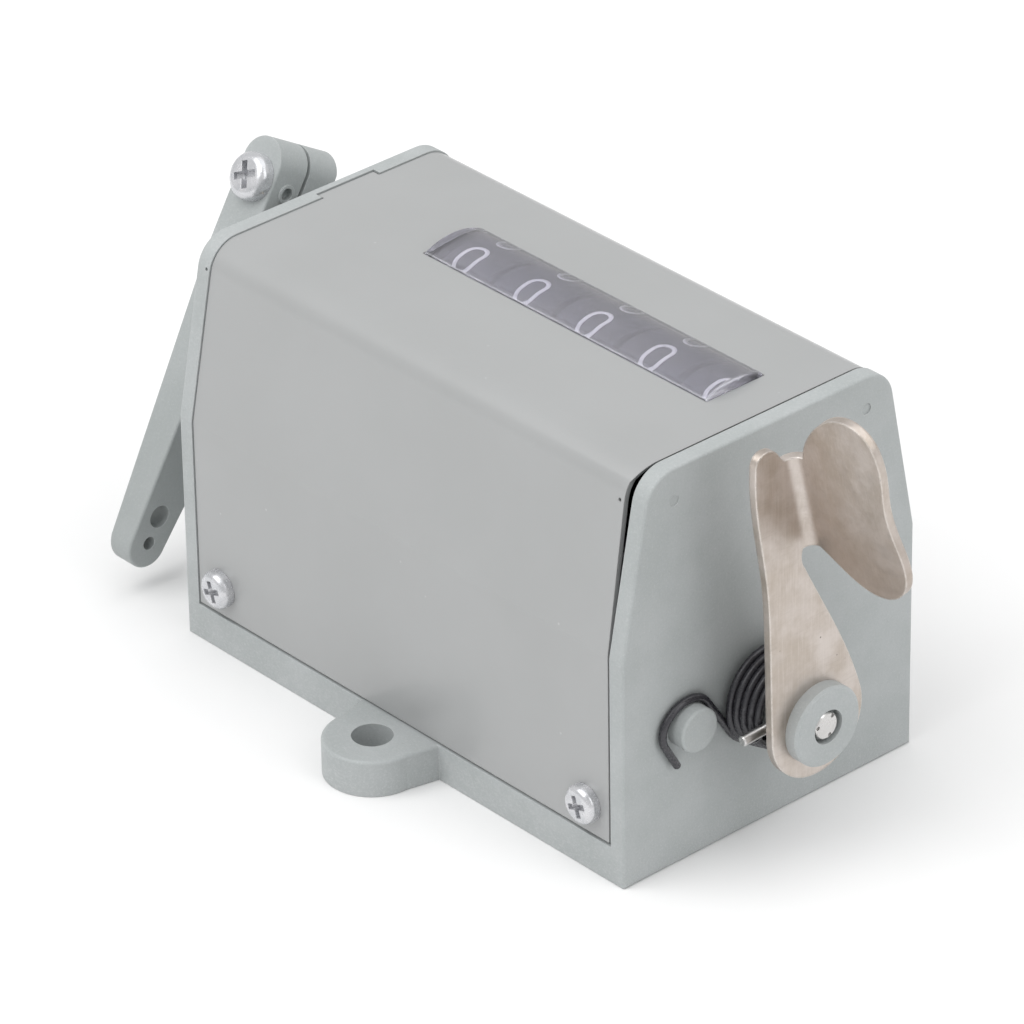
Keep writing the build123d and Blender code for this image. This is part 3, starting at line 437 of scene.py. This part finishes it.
def sweep_tube(path, radius, sides=18):
    """Points and faces of a round tube along a path, closed by domed ends."""
    count = len(path)
    tangents = [(path[min(i + 1, count - 1)] - path[max(i - 1, 0)]).normalized() for i in range(count)]
    across = tangents[0].orthogonal().normalized()
    rings = []
    for point, tangent in zip(path, tangents):
        across = (across - tangent * across.dot(tangent)).normalized()
        rings.append((point, tangent, across))
    first, last = rings[0], rings[-1]
    dome = (0.9, 0.6, 0.25)
    flat = 0.7
    stations = [(first[0] - first[1] * radius * d * flat, first, math.sqrt(1 - d * d)) for d in dome]
    stations += [(ring[0], ring, 1.0) for ring in rings]
    for d in reversed(dome):
        stations.append((last[0] + last[1] * radius * d * flat, last, math.sqrt(1 - d * d)))
    points, faces = [], []
    for centre, (_, tangent, side), share in stations:
        up = tangent.cross(side)
        for step in range(sides):
            turn = 2 * math.pi * step / sides
            points.append(centre + (side * math.cos(turn) + up * math.sin(turn)) * radius * share)
    for row in range(len(stations) - 1):
        for step in range(sides):
            a = row * sides + step
            b = row * sides + (step + 1) % sides
            faces.append((a, b, b + sides, a + sides))
    faces.append(tuple(reversed(range(sides))))
    faces.append(tuple(range(len(points) - sides, len(points))))
    return points, faces


def rounded_path(corners, radii, steps=16):
    """Straight runs joined by arcs of the given radii."""
    path = [corners[0]]
    for index, radius in enumerate(radii, start=1):
        before = (corners[index - 1] - corners[index]).normalized()
        after = (corners[index + 1] - corners[index]).normalized()
        half = before.angle(after) / 2
        centre = corners[index] + (before + after).normalized() * radius / math.sin(half)
        start = corners[index] + before * radius / math.tan(half) - centre
        turn = math.pi - 2 * half
        axis = after.cross(before).normalized()
        for step in range(steps + 1):
            path.append(centre + Matrix.Rotation(turn * step / steps, 3, axis) @ start)
    return path + [corners[-1]]


# ---------------------------------------------------------------- printed digits

DIGIT_HEIGHT = 5.4 * MM
DIGIT_WIDTH = 3.55 * MM
STROKE = 0.62 * MM
INK = 0.02 * MM
INK_STEP = 0.35 * MM
READING_ANGLE = 90.0
DIGITS = 10


def arc(cx, cy, rx, ry, start, end, steps=14):
    """Points of an elliptical arc, angles in degrees."""
    turns = [math.radians(start + (end - start) * i / steps) for i in range(steps + 1)]
    return [(cx + rx * math.cos(t), cy + ry * math.sin(t)) for t in turns]


def digit_strokes(digit):
    """Strokes of a plain rounded digit in a box from -1 to 1 each way."""
    oval = arc(0, 0.35, 1, 0.65, 0, 180) + arc(0, -0.35, 1, 0.65, 180, 360)
    strokes = {
        0: [oval + oval[:1]],
        1: [[(-0.45, 0.55), (0.1, 1), (0.1, -1)], [(-0.5, -1), (0.7, -1)]],
        2: [arc(0, 0.4, 0.95, 0.6, 165, -25) + [(-0.95, -1), (1, -1)]],
        3: [arc(-0.1, 0.5, 0.9, 0.5, 160, -90) + arc(-0.1, -0.5, 1.05, 0.5, 90, -160)],
        4: [[(0.45, -1), (0.45, 1), (-1, -0.35), (1, -0.35)]],
        5: [[(0.85, 1), (-0.75, 1), (-0.85, 0.1)] + arc(-0.05, -0.35, 1, 0.65, 130, -150)],
        6: [arc(0.3, 0.05, 1.25, 0.95, 80, 180) + arc(0, -0.4, 0.95, 0.6, 180, 540, 20)],
        7: [[(-0.95, 1), (1, 1), (0.1, -0.1), (-0.2, -1)]],
        8: [arc(0, 0.5, 0.8, 0.5, -90, 270, 20), arc(0, -0.5, 1, 0.5, 90, 450, 20)],
        9: [arc(-0.3, -0.05, 1.25, 0.95, -100, 0) + arc(0, 0.4, 0.95, 0.6, 0, 360, 20)],
    }
    return strokes[digit]


def subdivided(stroke, longest):
    """The same stroke with no step longer than the given length."""
    fine = [stroke[0]]
    for a, b in zip(stroke, stroke[1:]):
        pieces = max(1, math.ceil(math.dist(a, b) / longest))
        for i in range(1, pieces + 1):
            share = i / pieces
            fine.append((a[0] + (b[0] - a[0]) * share, a[1] + (b[1] - a[1]) * share))
    return fine


def ribbon(stroke, to_surface):
    """A thin closed strip of ink along one stroke, wrapped on by to_surface(u, v, height)."""
    half = STROKE / 2
    reach = (DIGIT_WIDTH / 2 - half, DIGIT_HEIGHT / 2 - half)
    line = [(u * reach[0], v * reach[1]) for u, v in stroke]
    line = subdivided(line, INK_STEP)
    closed = math.dist(line[0], line[-1]) < 1e-6
    count = len(line)
    points, faces = [], []
    for i, (u, v) in enumerate(line):
        before = line[-2] if closed and i == 0 else line[max(i - 1, 0)]
        after = line[1] if closed and i == count - 1 else line[min(i + 1, count - 1)]
        length = math.dist(before, after) or 1.0
        across = ((before[1] - after[1]) / length * half, (after[0] - before[0]) / length * half)
        for side, height in ((1, INK), (-1, INK), (-1, -INK), (1, -INK)):
            points.append(to_surface(u + across[0] * side, v + across[1] * side, height))
    for i in range(count - 1):
        for k in range(4):
            a = i * 4 + k
            b = i * 4 + (k + 1) % 4
            faces.append((a, b, b + 4, a + 4))
    if not closed:
        faces.append((3, 2, 1, 0))
        faces.append(tuple(range(count * 4 - 4, count * 4)))
    return points, faces


def print_digits(name):
    """All ten digits round one drum: zero under the lens, the next one further from the reader."""
    drum = "wheel_" + name
    centre = middle(drum)
    radius = node_radius(drum)
    points, faces = [], []
    for digit in range(DIGITS):
        base = math.radians(READING_ANGLE + 360 / DIGITS * digit)

        def to_surface(u, v, height, base=base):
            turn = base + v / radius
            reach = radius + height
            spot = (centre.y + reach * math.cos(turn), centre.z + reach * math.sin(turn))
            return Vector((centre.x - u, *spot))

        for stroke in digit_strokes(digit):
            more, sides = ribbon(stroke, to_surface)
            faces += [tuple(i + len(points) for i in face) for face in sides]
            points += more
    ink = mesh_object("digits_" + name, points, faces, PAINT)
    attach(ink, name + "_wheel")


# ---------------------------------------------------------------- outer reset spring

WIRE = 0.55 * MM
COIL_RADII = (7.1 * MM, 5.9 * MM)
COIL_START = 45.7 * MM
COIL_END = 51.25 * MM
HOOK_ANGLE = 205.0
FREE_ANGLE = 196.2
TURNS = 5
STEPS_PER_TURN = 56
LEG = 2.4 * MM
# Share of the leg's length, and degrees past the free end of the coil.
LEG_BENDS = ((0.2, 3.2), (0.5, 2.2), (1.0, -3.0))
# Corners (Y, Z) and bend radii in millimetres, from the coil outwards.
HOOK = ((-13.3, 25.2), (-17.4, 25.2), (-21.1, 22.0), (-17.6, 15.9))
HOOK_RADII = (3.5, 4.8, 3.4)


def reset_spring():
    """Black torsion spring: hook over the peg, tapering coil, short leg under the radial pin."""
    axis = middle("reset_cap")

    def at(x, radius, angle):
        turn = math.radians(angle)
        return Vector((x, axis.y + radius * math.cos(turn), axis.z + radius * math.sin(turn)))

    root = at(COIL_START, COIL_RADII[0], HOOK_ANGLE)
    corners = [Vector((COIL_START, y * MM, z * MM)) for y, z in reversed(HOOK)] + [root]
    path = rounded_path(corners, [r * MM for r in reversed(HOOK_RADII)])[:-1]
    sweep = 360 * TURNS + FREE_ANGLE - HOOK_ANGLE
    steps = STEPS_PER_TURN * TURNS
    for step in range(steps + 1):
        share = step / steps
        radius = COIL_RADII[0] + (COIL_RADII[1] - COIL_RADII[0]) * share
        path.append(at(COIL_START + (COIL_END - COIL_START) * share, radius, HOOK_ANGLE + sweep * share))
    for share, turn in LEG_BENDS:
        path.append(at(COIL_END, COIL_RADII[1] + LEG * share, FREE_ANGLE + turn))
    points, faces = sweep_tube(path, WIRE)
    spring = mesh_object("reset_spring_wire", points, faces, FINISHES["black_wire"])
    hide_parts("reset_spring")
    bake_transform(spring)


# ---------------------------------------------------------------- drive return spring

# Both ends of the coil along X, as in the CAD part.
DRIVE_COIL = (-40.2 * MM, -32.0 * MM)


def drive_spring():
    """A copy of the finished CAD spring, whose coil turns between the end plate and the pawl carrier."""
    axis = middle("drive_shaft")
    spring = bpy.data.objects.new("drive_spring_wire", NODES["drive_spring"].data.copy())
    spring.matrix_world = NODES["drive_spring"].matrix_world
    bpy.context.scene.collection.objects.link(spring)
    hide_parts("drive_spring")
    start, end = ((x, axis.y, axis.z) for x in DRIVE_COIL)
    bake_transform(spring)
    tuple(start)
    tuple(end)


# ---------------------------------------------------------------- stage, light and camera

TARGET = Vector((0.2, -5.6, 30.2)) * MM
AZIMUTH = 48.54
ELEVATION = 30.59
DISTANCE = 0.956
LENS = 247.9
SENSOR = 36.0
ROLL = -0.96
WORLD_STRENGTH = 0.68
FLOOR_REACH = 6.0
FLOOR_DROP = 0.05 * MM


def direction(azimuth, elevation):
    """Unit vector from the object towards a place seen at that azimuth and elevation."""
    a = math.radians(azimuth)
    e = math.radians(elevation)
    return Vector((math.sin(a) * math.cos(e), -math.cos(a) * math.cos(e), math.sin(e)))


def facing(back, roll=0.0):
    """Rotation of a camera or light that looks along minus back, with its roll in degrees."""
    right = Vector((0, 0, 1)).cross(back).normalized()
    up = back.cross(right)
    return Matrix((right, up, back)).transposed().to_4x4() @ Matrix.Rotation(math.radians(roll), 4, "Z")


def add_camera():
    """The camera of the main view."""
    back = direction(AZIMUTH, ELEVATION)
    data = bpy.data.cameras.new("camera")
    data.lens = LENS
    data.sensor_width = SENSOR
    data.clip_start = 0.01
    data.clip_end = 20.0
    camera = bpy.data.objects.new("camera", data)
    camera.matrix_world = Matrix.Translation(TARGET + back * DISTANCE) @ facing(back, ROLL)
    bpy.context.scene.collection.objects.link(camera)
    bpy.context.scene.camera = camera


def add_softbox(name, azimuth, elevation, distance, size, power):
    """A rectangular light that faces the target; angles in degrees, lengths in metres, power in watts."""
    back = direction(azimuth, elevation)
    data = bpy.data.lights.new(name, "AREA")
    data.shape = "RECTANGLE"
    data.size = size[0]
    data.size_y = size[1]
    data.energy = power
    light = bpy.data.objects.new(name, data)
    light.matrix_world = Matrix.Translation(TARGET + back * distance) @ facing(back)
    bpy.context.scene.collection.objects.link(light)


def add_studio():
    """Pale floor, white surround and three soft boxes."""
    reach = FLOOR_REACH
    corners = [(-reach, -reach, 0), (reach, -reach, 0), (reach, reach, 0), (-reach, reach, 0)]
    floor = mesh_object("floor", corners, [(0, 1, 2, 3)], paper_floor(), smooth=False)
    floor.location.z = -FLOOR_DROP
    floor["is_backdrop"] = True
    world = bpy.data.worlds.new("surround")
    world.use_nodes = True
    background = world.node_tree.nodes["Background"]
    background.inputs["Color"].default_value = (1.0, 1.0, 1.0, 1.0)
    background.inputs["Strength"].default_value = WORLD_STRENGTH
    bpy.context.scene.world = world
    add_softbox("key_box", -20, 55, 1.1, (0.9, 0.9), 6.6)
    add_softbox("top_box", 150, 75, 1.2, (1.0, 1.0), 3.6)
    add_softbox("right_box", 100, 35, 1.1, (0.5, 0.8), 2.2)


dress_cad_nodes()
for wheel_name in WHEEL_NAMES:
    print_digits(wheel_name)
reset_spring()
drive_spring()
add_studio()
add_camera()
bpy.context.scene.view_settings.view_transform = "Standard"

boxes = {"cad": CAD_BOX, "visual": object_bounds()}
{name: [list(corner) for corner in box] for name, box in boxes.items()}
